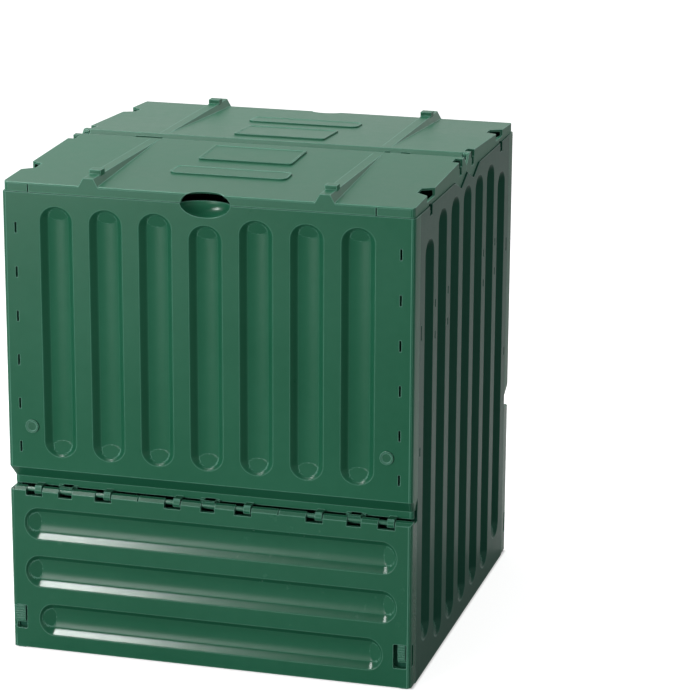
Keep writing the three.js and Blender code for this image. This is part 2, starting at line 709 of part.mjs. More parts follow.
// The lid's outline in the side plane, moved inwards by a thickness
function lidSection(thick) {
  const faceY = -halfDepth + lidIn + thick;
  const slope = (crestZ - eaveTop) / (halfDepth - lidIn - crestY);
  const round = Math.max(eaveRound - thick, 0);
  const roof = (y) => eaveTop - thick + (y + halfDepth - lidIn) * slope;
  const fall = (crestZ - seamTop) / (crestY - seamGap);
  const lower = thick * Math.hypot(1, fall);
  const crest = -crestY - (lower - thick) / (fall + slope);
  const seam = -seamGap - thick;
  const points = [[faceY, lidBottom]];
  if (round > 0) {
    points.push([faceY, roof(faceY) - round], [faceY + round * (1 - Math.SQRT1_2), roof(faceY) - round * (1 - Math.SQRT1_2)],
      [faceY + round, roof(faceY + round)]);
  } else {
    points.push([faceY, roof(faceY)]);
  }
  points.push([crest, roof(crest)], [seam, seamTop - lower + thick * fall], [seam, seamBottom]);
  return points;
}

function lidShell() {
  const outer = lidSection(0);
  const inner = lidSection(lidWall);
  const halfX = halfWidth - lidIn;
  const roof = sideSlab([...outer, ...inner.reverse()], -halfX, halfX);
  const cheek = [
    ...outer, [-tongueTipY, tongueTipZ], [-tongueFrom, lidBottom],
  ];
  const cheeks = [sideSlab(cheek, halfX - lidWall, halfX), sideSlab(cheek, -halfX, -halfX + lidWall)];
  const relief = [-1, 1].map((side) => block(
    [side * (earFrom - earClear), side * (halfX - lidWall)].sort((a, b) => a - b),
    [-crestY, overrun], [lidBottom - overrun, crestZ + overrun]));
  return joined([cut(roof, relief), ...cheeks]);
}

function lidStuds() {
  return [-1, 1].map((side) => barX(studRadius,
    [side * (earFrom + touch), side * (halfWidth - lidIn - lidWall / 2)].sort((a, b) => a - b), -crestY, studZ));
}

// A rib with sloping sides and a level top that runs out at the crest
function ribBody(x, grow, low) {
  const base = rib.baseHalf - grow;
  const top = rib.topHalf - grow;
  const lift = eaveTop - low;
  const lean = (rib.baseHalf - rib.topHalf) / (ribTop - eaveTop);
  const spread = base + lift * lean;
  const outline = [[x - spread, low], [x + spread, low], [x + top, ribTop - grow], [x - top, ribTop - grow]];
  return frontSlab(outline, -halfDepth + lidIn + grow, -crestY - grow);
}

function ribParts() {
  const slope = (crestZ - eaveTop) / (halfDepth - lidIn - crestY);
  const start = -halfDepth + lidIn;
  const keep = sideSlab([[start, lidBottom], [start, crestZ + overrun], [-crestY, crestZ + overrun],
    [-crestY, crestZ - lidWall / 2], [start + lidWall, eaveTop - lidWall / 2 + lidWall * slope],
    [start + lidWall, lidBottom]], -halfWidth, halfWidth);
  return [-ribX, ribX].map((x) => ribBody(x, 0, eaveTop - lidWall).intersect(keep));
}

function stopBlocks() {
  return [-ribX, ribX].map((x) => block([x - stop.half, x + stop.half],
    [-halfDepth + stop.to, -halfDepth + stop.from], [ribTop - rib.wall, ribTop + stop.tall]));
}

// The slot beside the hinge and the notch over the hook, in one edge of the lid
function edgeCuts(side) {
  const halfX = halfWidth - lidIn;
  const x = (value) => side * value;
  const high = crestZ + overrun;
  const slotTop = block([x(halfX - sideSlot.inward), x(halfX + overrun)].sort((a, b) => a - b),
    [-sideSlot.to, -sideSlot.from], [eaveTop, high]);
  const slotSide = block([x(halfX - lidWall - touch), x(halfX + overrun)].sort((a, b) => a - b),
    [-sideSlot.to + sideSlot.narrow, -sideSlot.from - sideSlot.narrow], [lidBottom + sideSlot.rise, high]);
  const edge = halfX + overrun;
  const inward = halfX - lidNotch.inward;
  const notch = planSlab([[x(edge), -hookY - lidNotch.after], [x(edge), -hookY + lidNotch.before],
    [x(inward), -hookY + lidNotch.innerBefore], [x(inward), -hookY - lidNotch.innerAfter]],
  lidBottom + lidNotch.rise, high);
  const low = block([x(halfX - lidWall - touch), x(edge)].sort((a, b) => a - b),
    [-hookY - hookSlot.wide / 2, -hookY + hookSlot.wide / 2],
    [lidBottom - overrun, lidBottom + hookTab.flangeRise]);
  return [slotTop, slotSide, notch, low];
}

function hookTabs(side) {
  const out = halfWidth - wall - touch;
  const low = lidBottom - hookTab.drop;
  const y = [-hookY - hookTab.half, -hookY + hookTab.half];
  const x = (from, to) => [side * from, side * to].sort((a, b) => a - b);
  return [
    block(x(out - hookTab.thick, out), y, [low, lidBottom + lidNotch.rise]),
    block(x(out - hookTab.thick, halfWidth - lidIn), y, [low, low + hookTab.toe]),
  ];
}

function buildLid() {
  const halfX = halfWidth - lidIn;
  const front = halfDepth - lidIn;
  const sides = [-1, 1];
  const body = joined([lidShell(), ...ribParts(), ...stopBlocks(), ...lidStuds()]);
  const hollow = [-ribX, ribX].map((x) => ribBody(x, rib.wall, eaveTop - lidWall - overrun));
  const slits = eaveSlitShares.map((share) => block([share * width - eaveSlitWide / 2, share * width + eaveSlitWide / 2],
    [-front - overrun, -front + lidWall + touch], [lidBottom - overrun, eaveTop - eaveRound]));
  const holes = crestHoleShares.map((shares) => block(shares.map((share) => share * width),
    [-crestHole.to, -crestHole.from], [seamBottom, crestZ]));
  const open = cut(body, [...hollow, ...slits, ...holes, ...sides.flatMap(edgeCuts), scoopBall(0)]);
  const rounded = planSlab(cPath(halfX, front, cornerRadius).map(([x, y]) => (y === -returnEnd ? [x, 0] : [x, y])),
    tongueTipZ - overrun, ribTop + stop.tall + overrun);
  return joined([open.intersect(rounded), ...sides.flatMap(hookTabs)]);
}

// Colours of the recycled green plastic
const plastics = {
  body: { color: 0x306a4f, roughness: 0.46 },
  side: { color: 0x2f6149, roughness: 0.5 },
  flap: { color: 0x356e54, roughness: 0.44 },
  lid: { color: 0x3f7a60, roughness: 0.42 },
  trim: { color: 0x2b6048, roughness: 0.5 },
};

function piece(name, solid, plastic) {
  const mesh = new THREE.Mesh(toGeometry(solid),
    new THREE.MeshStandardMaterial({ ...plastics[plastic], metalness: 0 }));
  mesh.name = name;
  return mesh;
}

// One face of the bin: wall, flap, lid half, latches and pegs
function face(name, parts) {
  const group = new THREE.Group();
  group.add(piece(`${name}_wall`, parts.wall, 'body'));
  group.add(piece(`${name}_flap`, parts.flap, 'flap'));
  group.add(piece(`${name}_lid`, parts.lid, 'lid'));
  for (const [label, side] of [['left', -1], ['right', 1]]) {
    const slider = piece(`${name}_latch_${label}`, parts.latch, 'trim');
    slider.position.x = side * latchX;
    const pin = piece(`${name}_peg_${label}`, parts.peg, 'trim');
    pin.position.set(side * pegX, 0, pegZ);
    group.add(slider, pin);
  }
  return group;
}

const parts = {
  wall: buildWall(), flap: buildFlap(), lid: buildLid(), latch: buildLatch(), peg: buildPeg(),
};
const sideSolid = buildSide();

const group = new THREE.Group();
const front = face('front', parts);
const rear = face('rear', parts);
rear.rotation.z = Math.PI;
const right = piece('right_wall', sideSolid, 'side');
const left = piece('left_wall', sideSolid, 'side');
left.rotation.z = Math.PI;
group.add(front, rear, right, left);

export default group;
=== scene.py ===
import json
import math

import bpy
from mathutils import Matrix, Vector


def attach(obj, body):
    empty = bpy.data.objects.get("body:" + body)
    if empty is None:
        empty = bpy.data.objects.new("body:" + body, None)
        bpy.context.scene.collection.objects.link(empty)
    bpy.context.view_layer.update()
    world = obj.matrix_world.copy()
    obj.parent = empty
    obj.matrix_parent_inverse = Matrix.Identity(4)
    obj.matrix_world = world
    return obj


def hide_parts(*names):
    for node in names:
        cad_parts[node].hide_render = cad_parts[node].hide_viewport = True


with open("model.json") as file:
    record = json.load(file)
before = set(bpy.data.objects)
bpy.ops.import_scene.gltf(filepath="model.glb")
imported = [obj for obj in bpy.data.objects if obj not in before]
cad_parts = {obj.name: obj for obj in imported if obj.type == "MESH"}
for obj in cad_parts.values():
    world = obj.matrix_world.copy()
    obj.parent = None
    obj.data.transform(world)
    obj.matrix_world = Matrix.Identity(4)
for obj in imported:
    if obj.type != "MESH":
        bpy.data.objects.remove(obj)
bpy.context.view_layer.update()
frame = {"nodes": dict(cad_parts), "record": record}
scene = bpy.context.scene
print("frame loaded:", len(frame["nodes"]), "nodes")


# settings of the camera, the lamps and the floor

view = {
    "place": (1.43168, -4.68214, 1.85298),
    "turn": 15.369,
    "down": 15.834,
    "roll": 0.325,
    "lens": 149.30,
    "sensor": 36,
    "far": 100,
}

light = {
    "worldStrength": 0.38, "overhead": 0.12, "overheadFrom": 0.35, "overheadTo": 0.75,
    "lamps": {
        "keyLamp": {"place": (-2.0, -3.9, 0.64), "size": 1.9, "power": 99, "diffuse": True},
        "topLamp": {"place": (-1.0, 0.3, 3.2), "size": 2.0, "power": 54, "diffuse": True},
        "sparkLamp": {"place": (-1.02, -0.80, 2.08), "size": 0.32, "power": 36, "diffuse": False},
    },
    "target": (0, 0, 0.45),
    "floorSize": 14, "floorRough": 0.9, "floorColor": (0.92, 0.92, 0.92, 1.0),
    "floorShade": (0.16, 0.16, 0.16, 1.0), "white": (1.0, 1.0, 1.0, 1.0),
    "floorGlow": 0.78, "glowFrom": 0.345, "glowRise": 100.0,
}


def addCamera():
    data = bpy.data.cameras.new("camera")
    data.sensor_width = view["sensor"]
    data.lens = view["lens"]
    data.clip_end = view["far"]
    camera = bpy.data.objects.new("camera", data)
    scene.collection.objects.link(camera)
    camera.matrix_world = (
        Matrix.Translation(view["place"])
        @ Matrix.Rotation(math.radians(view["turn"]), 4, "Z")
        @ Matrix.Rotation(math.radians(90 - view["down"]), 4, "X")
        @ Matrix.Rotation(math.radians(view["roll"]), 4, "Z")
    )
    scene.camera = camera


def addLamp(name, kind):
    data = bpy.data.lights.new(name, "AREA")
    data.size = kind["size"]
    data.energy = kind["power"]
    lamp = bpy.data.objects.new(name, data)
    scene.collection.objects.link(lamp)
    lamp.location = kind["place"]
    lamp.rotation_euler = (Vector(light["target"]) - lamp.location).to_track_quat("-Z", "Y").to_euler()
    lamp.visible_diffuse = kind["diffuse"]


# materials

# an output in a node tree; + - * / add Math nodes
class Link:
    def __init__(self, tree, socket):
        self.tree = tree
        self.socket = socket

    def math(self, operation, first, second=0.0):
        node = self.tree.nodes.new("ShaderNodeMath")
        node.operation = operation
        for slot, value in enumerate((first, second)):
            if isinstance(value, Link):
                self.tree.links.new(value.socket, node.inputs[slot])
            else:
                node.inputs[slot].default_value = value
        return Link(self.tree, node.outputs[0])

    def __add__(self, other):
        return self.math("ADD", self, other)

    def __radd__(self, other):
        return self.math("ADD", other, self)

    def __sub__(self, other):
        return self.math("SUBTRACT", self, other)

    def __rsub__(self, other):
        return self.math("SUBTRACT", other, self)

    def __mul__(self, other):
        return self.math("MULTIPLY", self, other)

    def __rmul__(self, other):
        return self.math("MULTIPLY", other, self)

    def __truediv__(self, other):
        return self.math("DIVIDE", self, other)

    def absolute(self):
        return self.math("ABSOLUTE", self)

    def least(self, other):
        return self.math("MINIMUM", self, other)

    def most(self, other):
        return self.math("MAXIMUM", self, other)

    def clamped(self):
        return self.least(1.0).most(0.0)

    # another output of the same node
    def beside(self, output):
        return Link(self.tree, self.socket.node.outputs[output])


# the node tree of a material or a world
class Shader:
    def __init__(self, owner):
        self.owner = owner
        owner.use_nodes = True
        self.tree = owner.node_tree
        self.tree.nodes.clear()

    # a node of any kind: its settings first, then the values or links of its sockets
    def node(self, kind, settings=None, sockets=None, out=0):
        node = self.tree.nodes.new("ShaderNode" + kind)
        for name, value in (settings or {}).items():
            setattr(node, name, value)
        for name, value in (sockets or {}).items():
            if isinstance(value, Link):
                self.tree.links.new(value.socket, node.inputs[name])
            else:
                node.inputs[name].default_value = value
        return Link(self.tree, node.outputs[out])

    def finish(self, surface, output="OutputMaterial"):
        node = self.tree.nodes.new("ShaderNode" + output)
        self.tree.links.new(surface.socket, node.inputs["Surface"])
        return self.owner


def noise(shader, place, kind):
    scale, detail, rough = kind
    sockets = {"Vector": place, "Scale": scale, "Detail": detail, "Roughness": rough}
    return shader.node("TexNoise", None, sockets)


def mixColors(shader, share, first, second):
    first, second = (value if isinstance(value, Link) else (*value, 1.0) for value in (first, second))
    return shader.node("Mix", {"data_type": "RGBA"}, {0: share, 6: first, 7: second}, out=2)


plastic = {
    # the pale edge colour and its share in each finish paint highlights along the edges
    "wall": {"color": (0.015, 0.130, 0.066), "pale": (0.025, 0.158, 0.087), "highlightColor": (0.130, 0.340, 0.250),
             "highlightShare": 0.90, "rough": 0.30, "gloss": 0.16, "grain": 0.10},
    # painted shade: the side walls' plastic is a darker copy of the wall plastic, standing in for the shade
    # on the sides
    "side": {"color": (0.012, 0.086, 0.053), "pale": (0.018, 0.104, 0.066), "highlightColor": (0.090, 0.240, 0.180),
             "highlightShare": 0.75, "rough": 0.34, "gloss": 0.13, "grain": 0.10},
    "flap": {"color": (0.015, 0.125, 0.064), "pale": (0.023, 0.150, 0.082), "highlightColor": (0.130, 0.340, 0.250),
             "highlightShare": 0.90, "rough": 0.25, "gloss": 0.23, "grain": 0.08},
    "lid": {"color": (0.018, 0.136, 0.072), "pale": (0.030, 0.171, 0.098), "highlightColor": (0.150, 0.380, 0.280),
            "highlightShare": 0.90, "rough": 0.40, "gloss": 0.26, "grain": 0.22},
    "trim": {"color": (0.015, 0.118, 0.060), "pale": (0.024, 0.147, 0.081), "highlightColor": (0.130, 0.340, 0.250),
             "highlightShare": 0.90, "rough": 0.34, "gloss": 0.26, "grain": 0.16},
}

# noise as scale, detail and roughness; how much each moves colour, roughness and height
texture = {
    "clouds": (3.2, 4.0, 0.55), "specks": (55.0, 4.0, 0.6), "grain": (620.0, 2.0, 0.5),
    "cloudColor": 1.5, "speckColor": 0.5, "cloudRough": 0.10, "speckRough": 0.08, "speckHeight": 0.5,
    "height": 0.0006, "edgeRadius": 0.0012, "edgeSamples": 4,
    # the wider bevel that finds the edges for the painted edge highlights
    "highlightRadius": 0.0022, "highlightSamples": 8, "highlightFrom": 0.004, "highlightRise": 60.0, "refraction": 1.49,
}


def mouldedPlastic(name):
    kind = plastic[name]
    shader = Shader(bpy.data.materials.new(name + "Plastic"))
    place = shader.node("TexCoord", out="Object")
    clouds = noise(shader, place, texture["clouds"])
    specks = noise(shader, place, texture["specks"])
    grain = noise(shader, place, texture["grain"])
    cloudy = clouds - 0.5
    specked = specks - 0.5
    share = cloudy * texture["cloudColor"] + specked * texture["speckColor"] + 0.5
    color = mixColors(shader, share.clamped(), kind["color"], kind["pale"])
    rough = kind["rough"] + cloudy * texture["cloudRough"] + specked * texture["speckRough"]
    edges = shader.node("Bevel", {"samples": texture["edgeSamples"]}, {"Radius": texture["edgeRadius"]})
    # painted highlight: edges are paler than the faces beside them
    wide = shader.node("Bevel", {"samples": texture["highlightSamples"]}, {"Radius": texture["highlightRadius"]})
    facing = shader.node("NewGeometry", out="True Normal")
    turn = 1.0 - shader.node("VectorMath", {"operation": "DOT_PRODUCT"}, {0: wide, 1: facing}, out="Value")
    highlightShare = ((turn - texture["highlightFrom"]) * texture["highlightRise"]).clamped() * kind["highlightShare"]
    color = mixColors(shader, highlightShare, color, kind["highlightColor"])
    bump = shader.node("Bump", None, {
        "Height": grain + specks * texture["speckHeight"], "Strength": kind["grain"],
        "Distance": texture["height"], "Normal": edges,
    })
    surface = shader.node("BsdfPrincipled", None, {
        "Base Color": color, "Roughness": rough, "Normal": bump,
        "IOR": texture["refraction"], "Specular IOR Level": kind["gloss"],
    })
    return shader.finish(surface)


materials = {name: mouldedPlastic(name) for name in plastic}
print("materials made:", ", ".join(materials))


def paint(piece, name):
    piece.data.materials.clear()
    piece.data.materials.append(materials[name])


# the moulded panels

def only(piece):
    bpy.ops.object.select_all(action="DESELECT")
    piece.select_set(True)
    bpy.context.view_layer.objects.active = piece


def finishOf(nodeName):
    if "latch" in nodeName or "peg" in nodeName:
        return "trim"
    if "lid" in nodeName:
        return "lid"
    if "flap" in nodeName:
        return "flap"
    # the side walls take the darker side plastic, which is painted shade
    return "side" if nodeName in ("left_wall", "right_wall") else "wall"


for nodeName, node in frame["nodes"].items():
    paint(node, finishOf(nodeName))


def bodyOf(nodeName):
    for body, nodes in frame["record"]["behaviour"]["bodies"].items():
        if nodeName in nodes:
            return body


soften = {"merge": 0.00002, "smooth": 16, "lidSmooth": 14, "weight": 90}


# a CAD node's loose triangles joined into one mesh
def mergedCopy(nodeName, name):
    node = frame["nodes"][nodeName]
    piece = node.copy()
    piece.data = node.data.copy()
    piece.name = name
    scene.collection.objects.link(piece)
    only(piece)
    bpy.ops.object.mode_set(mode="EDIT")
    bpy.ops.mesh.select_all(action="SELECT")
    bpy.ops.mesh.remove_doubles(threshold=soften["merge"])
    bpy.ops.object.mode_set(mode="OBJECT")
    bpy.ops.mesh.customdata_custom_splitnormals_clear()
    return piece


def halfTurned(piece, name):
    other = piece.copy()
    other.data = piece.data.copy()
    other.name = name
    other.parent = None
    scene.collection.objects.link(other)
    other.data.transform(Matrix.Rotation(math.pi, 4, "Z"))
    return other


def finishPiece(piece, finish, body):
    paint(piece, finish)
    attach(piece, body)


# where the outer faces of the right and the front wall lie
outside = {"side": 0.350, "front": -0.359}

flute = {
    "deep": 0.0142, "wideShare": 0.667, "end": 0.026, "tipSteps": 18,
    "rim": 0.0022, "rimFrom": 24, "rimSteps": 4, "sideTurn": 50, "sideDeep": 0.0094, "sideSteps": 3,
    "turnSteps": 2, "turnWide": 0.0024, "bowlSteps": 10,
    "spare": 0.0002, "outside": 0.004, "cap": 0.46, "blend": 0.0002,
    "oldDeep": 0.015, "oldRim": 0.0035, "oldPower": 0.8, "oldCap": 0.577,
    "fillGrow": 0.0014, "fillDeep": 0.0026, "fillSteps": 8, "fillAcross": 32,
}

scoop = {"radii": (0.04235, 0.02835, 0.02185), "place": (0, outside["front"], 0.7994),
         "around": 64, "rings": 32}


# half a flute's section, as distances from the middle and into the wall:
# a rounded rim, a flat side, a rounded crease and a shallow bowl
def fluteSection(wide):
    sideTurn = math.radians(flute["sideTurn"])
    rimFrom = math.radians(flute["rimFrom"])
    points = []
    for step in range(flute["rimSteps"] + 1):
        turn = rimFrom + (sideTurn - rimFrom) * step / flute["rimSteps"]
        points.append((wide / 2 - flute["rim"] * math.sin(turn), flute["rim"] * (1 - math.cos(turn))))
    across, deep = points[-1]
    run = (flute["sideDeep"] - deep) / math.tan(sideTurn)
    for step in range(1, flute["sideSteps"] + 1):
        share = step / flute["sideSteps"]
        points.append((across - run * share, deep + (flute["sideDeep"] - deep) * share))
    crease = across - run - flute["turnWide"]
    rest = flute["deep"] - flute["sideDeep"]
    bowlTurn = 2 * math.atan(rest / (across - run))
    creaseDeep = flute["sideDeep"]
    last = across - run
    for step in range(1, flute["turnSteps"] + 1):
        turn = sideTurn + (bowlTurn - sideTurn) * (step - 0.5) / flute["turnSteps"]
        last -= flute["turnWide"] / flute["turnSteps"]
        creaseDeep += flute["turnWide"] / flute["turnSteps"] * math.tan(turn)
        points.append((last, creaseDeep))
    for step in range(1, flute["bowlSteps"] + 1):
        place = crease * (1 - step / flute["bowlSteps"])
        points.append((place, flute["deep"] - (flute["deep"] - creaseDeep) * (place / crease) ** 2))
    return points


# the section of the CAD's flutes, which the filler covers
def oldSection(wide):
    half = wide / 2 - flute["oldRim"]
    points = [(wide / 2, 0.0), (half, flute["oldRim"])]
    for step in range(1, flute["fillAcross"]):
        turn = math.pi / 2 * step / flute["fillAcross"]
        down = (flute["oldDeep"] - flute["oldRim"]) * math.sin(turn) ** flute["oldPower"]
        points.append((half * math.cos(turn) ** flute["oldPower"], flute["oldRim"] + down))
    return points + [(0.0, flute["oldDeep"])]


def sectionDepth(section, across):
    if across >= section[0][0]:
        return 0.0
    for (outer, shallow), (inner, deep) in zip(section, section[1:]):
        if across >= inner:
            return shallow + (deep - shallow) * (outer - across) / (outer - inner)
    return section[-1][1]


# the smaller of two depths, with the crease between them rounded
def rounded(first, second):
    near = max(flute["blend"] - abs(first - second), 0.0) / flute["blend"]
    return min(first, second) - near * near * flute["blend"] / 4


# a solid that cuts one flute: round tips whose floors slope up to the face
def fluteCutter(wide, low, high, put):
    section = fluteSection(wide)
    spare = flute["spare"]
    slopeStart = 1 / math.tan(math.radians(flute["rimFrom"]))
    reach = section[0][0] + (section[0][1] + flute["outside"]) * slopeStart
    radial = [(reach + spare, -flute["outside"])] + [(across + spare, deep) for across, deep in section[:-1]]
    stretch = flute["end"] / (wide / 2)
    points = []
    rays = []
    for centre, way in ((low + flute["end"], -1), (high - flute["end"], 1)):
        for step in range(flute["tipSteps"] + 1):
            turn = math.pi * step / flute["tipSteps"]
            ray = []
            for across, deep in radial:
                beyond = across * math.sin(turn) * stretch
                if deep > 0:
                    deep = rounded(deep, flute["deep"] - flute["cap"] * beyond) + spare
                ray.append(len(points))
                points.append(put(-way * across * math.cos(turn), centre + way * beyond, deep))
            rays.append(ray)
    spine = []
    for centre in (low + flute["end"], high - flute["end"]):
        spine.append(len(points))
        points.append(put(0.0, centre, flute["deep"] + spare))
    faces = [[ray[0] for ray in rays]]
    tip = flute["tipSteps"] + 1
    for number, ray in enumerate(rays):
        after = rays[(number + 1) % len(rays)]
        for ring in range(len(radial) - 1):
            faces.append([ray[ring], after[ring], after[ring + 1], ray[ring + 1]])
        end, afterEnd = spine[number // tip], spine[((number + 1) % len(rays)) // tip]
        faces.append([ray[-1], after[-1], end] if end == afterEnd else [ray[-1], after[-1], afterEnd, end])
    return points, faces


# a solid that fills a CAD flute's tips flush with the face, a little thicker than the wall
def fluteFiller(wide, low, high, put):
    section = fluteSection(wide)
    old = oldSection(wide)
    half = wide / 2 + flute["fillGrow"]
    stretch = flute["end"] / (wide / 2)
    count = flute["fillAcross"]
    points = []
    rings = []
    steps = [(low + flute["end"], -1, step) for step in range(flute["fillSteps"], -1, -1)]
    steps += [(high - flute["end"], 1, step) for step in range(flute["fillSteps"] + 1)]
    for centre, way, step in steps:
        beyond = (flute["end"] + flute["fillGrow"]) * step / flute["fillSteps"]
        ring = []
        for place in range(count + 1):
            across = half * (2 * place / count - 1)
            oldDeep = sectionDepth(old, abs(across)) - flute["oldCap"] * beyond
            outward = math.hypot(across, beyond / stretch)
            new = min(sectionDepth(section, outward), flute["deep"] - flute["cap"] * beyond)
            ring.append(len(points))
            points.append(put(across, centre + way * beyond, max(oldDeep, new, 0.0) + flute["fillDeep"]))
        for across in (half, -half):
            ring.append(len(points))
            points.append(put(across, centre + way * beyond, 0.0))
        rings.append(ring)
    faces = [rings[0], rings[-1]]
    for ring, after in zip(rings, rings[1:]):
        for step in range(len(ring)):
            beside = (step + 1) % len(ring)
            faces.append([ring[step], ring[beside], after[beside], after[step]])
    return points, faces


def recalculate(piece):
    only(piece)
    bpy.ops.object.mode_set(mode="EDIT")
    bpy.ops.mesh.select_all(action="SELECT")
    bpy.ops.mesh.normals_make_consistent(inside=False)
    bpy.ops.object.mode_set(mode="OBJECT")


# one object of several closed solids
def gathered(name, solids):
    points = []
    faces = []
    for solidPoints, solidFaces in solids:
        start = len(points)
        points += solidPoints
        faces += [[start + corner for corner in face] for face in solidFaces]
    mesh = bpy.data.meshes.new(name)
    mesh.from_pydata(points, [], faces)
    piece = bpy.data.objects.new(name, mesh)
    scene.collection.objects.link(piece)
    recalculate(piece)
    return piece


# rows of flutes: the outer ones stand at a distance from the ends, the others evenly between them
wallRow = {"half": 0.350, "edge": 0.0938, "count": 7, "low": 0.349, "high": 0.779, "middleHigh": 0.765}
sideRow = {"half": 0.359, "edge": 0.095, "count": 7, "low": 0.028, "high": 0.777,
           "outerLow": 0.055, "outerHigh": 0.746}
flapRow = {"lowest": 0.057, "highest": 0.2275, "count": 3, "reach": 0.325, "lowReach": 0.302}


# each flute as its width, its two ends and a function that puts a point into the bin's frame
def wallFlutes():
    central = wallRow["count"] // 2
    pitch = (wallRow["half"] - wallRow["edge"]) / central
    for number in range(wallRow["count"]):
        middle = (number - central) * pitch
        high = wallRow["middleHigh"] if number == central else wallRow["high"]
        yield (pitch * flute["wideShare"], wallRow["low"], high,
               lambda across, along, into, middle=middle: (middle + across, outside["front"] + into, along))


def sideFlutes():
    central = sideRow["count"] // 2
    pitch = (sideRow["half"] - sideRow["edge"]) / central
    for number in range(sideRow["count"]):
        middle = (number - central) * pitch
        low, high = ("outerLow", "outerHigh") if abs(number - central) == central else ("low", "high")
        yield (pitch * flute["wideShare"], sideRow[low], sideRow[high],
               lambda across, along, into, middle=middle: (outside["side"] - into, middle + across, along))


def flapFlutes():
    pitch = (flapRow["highest"] - flapRow["lowest"]) / (flapRow["count"] - 1)
    for number in range(flapRow["count"]):
        middle = flapRow["lowest"] + number * pitch
        reach = flapRow["lowReach"] if number == 0 else flapRow["reach"]
        yield (pitch * flute["wideShare"], -reach, reach,
               lambda across, along, into, middle=middle: (along, outside["front"] + into, middle + across))


def scoopCutter():
    bpy.ops.object.select_all(action="DESELECT")
    bpy.ops.mesh.primitive_uv_sphere_add(segments=scoop["around"], ring_count=scoop["rings"], radius=1,
                                         location=scoop["place"])
    ball = bpy.context.active_object
    ball.scale = scoop["radii"]
    bpy.ops.object.transform_apply(location=True, rotation=False, scale=True)
    return ball


def cutOrJoin(piece, tool, operation):
    only(piece)
    change = piece.modifiers.new("change", "BOOLEAN")
    change.operation = operation
    change.solver = "EXACT"
    change.object = tool
    bpy.ops.object.modifier_apply(modifier=change.name)
    bpy.data.objects.remove(tool)


# a merged copy of a CAD node, with its flutes filled and cut again in fine steps
def moulding(nodeName, flutes, cutters, smooth):
    piece = mergedCopy(nodeName, nodeName + "_moulding")
    rows = list(flutes)
    if rows:
        cutOrJoin(piece, gathered("filler", [fluteFiller(*row) for row in rows]), "UNION")
        cutOrJoin(piece, gathered("cutter", [fluteCutter(*row) for row in rows]), "DIFFERENCE")
    for cutter in cutters:
        cutOrJoin(piece, cutter, "DIFFERENCE")
    return finishMoulding(piece, nodeName, smooth)


# smooth shading in which the large faces stay flat
def smoothShade(piece, smooth):
    only(piece)
    bpy.ops.object.shade_smooth_by_angle(angle=math.radians(smooth))
    weigh = piece.modifiers.new("weigh", "WEIGHTED_NORMAL")
    weigh.keep_sharp = True
    weigh.weight = soften["weight"]
    bpy.ops.object.modifier_apply(modifier=weigh.name)


def finishMoulding(piece, nodeName, smooth):
    smoothShade(piece, smooth)
    paint(piece, finishOf(nodeName))
    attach(piece, bodyOf(nodeName))
    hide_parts(nodeName)
    print("moulding:", nodeName, len(frame["nodes"][nodeName].data.polygons), "->", len(piece.data.polygons))
    return piece


# the same moulding turned half a turn
def turned(piece, nodeName, smooth):
    return finishMoulding(halfTurned(piece, nodeName + "_moulding"), nodeName, smooth)


# shaping new pieces

def startBlock(name, low, high):
    bpy.ops.object.select_all(action="DESELECT")
    middle = [(a + b) / 2 for a, b in zip(low, high)]
    bpy.ops.mesh.primitive_cube_add(size=1, location=middle)
    piece = bpy.context.active_object
    piece.name = name
    piece.scale = [b - a for a, b in zip(low, high)]
    bpy.ops.object.transform_apply(location=True, rotation=True, scale=True)
    return piece


# selects a piece's faces or edges by a test on their middle and direction, and opens edit mode
def choose(piece, kind, test):
    only(piece)
    mesh = piece.data
    for group in (mesh.vertices, mesh.edges, mesh.polygons):
        for element in group:
            element.select = False
    if kind == "faces":
        for face in mesh.polygons:
            face.select = test(face.center, face.normal)
    else:
        for edge in mesh.edges:
            first, second = (mesh.vertices[corner].co for corner in edge.vertices)
            edge.select = test((first + second) / 2, (second - first).normalized())
    bpy.context.tool_settings.mesh_select_mode = (False, kind == "edges", kind == "faces")
    bpy.ops.object.mode_set(mode="EDIT")


def roundEdges(piece, width, smooth, segments):
    only(piece)
    rounding = piece.modifiers.new("round", "BEVEL")
    rounding.width = width
    rounding.segments = segments
    rounding.limit_method = "ANGLE"
    rounding.angle_limit = math.radians(smooth)
    bpy.ops.object.modifier_apply(modifier=rounding.name)
    smoothShade(piece, smooth)


# the part of a unit direction from which it counts as lying along an axis
straight = 0.9

window = {
    "corner": ((-0.3530, -0.3650, 0.0390), (-0.3395, -0.3535, 0.0770)),
    "inner": ((0.3200, -0.3650, 0.0372), (0.3300, -0.3450, 0.0788)),
    "behind": ((-0.3281, -0.3560, 0.0400), (-0.3238, -0.3450, 0.0785)), "radius": 0.0020, "steps": 5,
}


# a block whose edges into the bin are rounded
def roundedBlock(low, high, radius):
    block = startBlock("window", low, high)
    choose(block, "edges", lambda middle, way: abs(way.y) > straight)
    bpy.ops.mesh.bevel(offset=radius, segments=window["steps"], affect="EDGES")
    bpy.ops.object.mode_set(mode="OBJECT")
    return block


wallPiece = moulding("front_wall", wallFlutes(), [scoopCutter()], soften["smooth"])
turned(wallPiece, "rear_wall", soften["smooth"])
sidePiece = moulding("right_wall", sideFlutes(), [], soften["smooth"])
turned(sidePiece, "left_wall", soften["smooth"])
windows = [roundedBlock(*window[side], window["radius"]) for side in ("corner", "inner", "behind")]
flapPiece = moulding("front_flap", flapFlutes(), windows, soften["smooth"])
turned(flapPiece, "rear_flap", soften["smooth"])
lidPiece = moulding("front_lid", [], [scoopCutter()], soften["lidSmooth"])
turned(lidPiece, "rear_lid", soften["lidSmooth"])


# bare plates on the lid

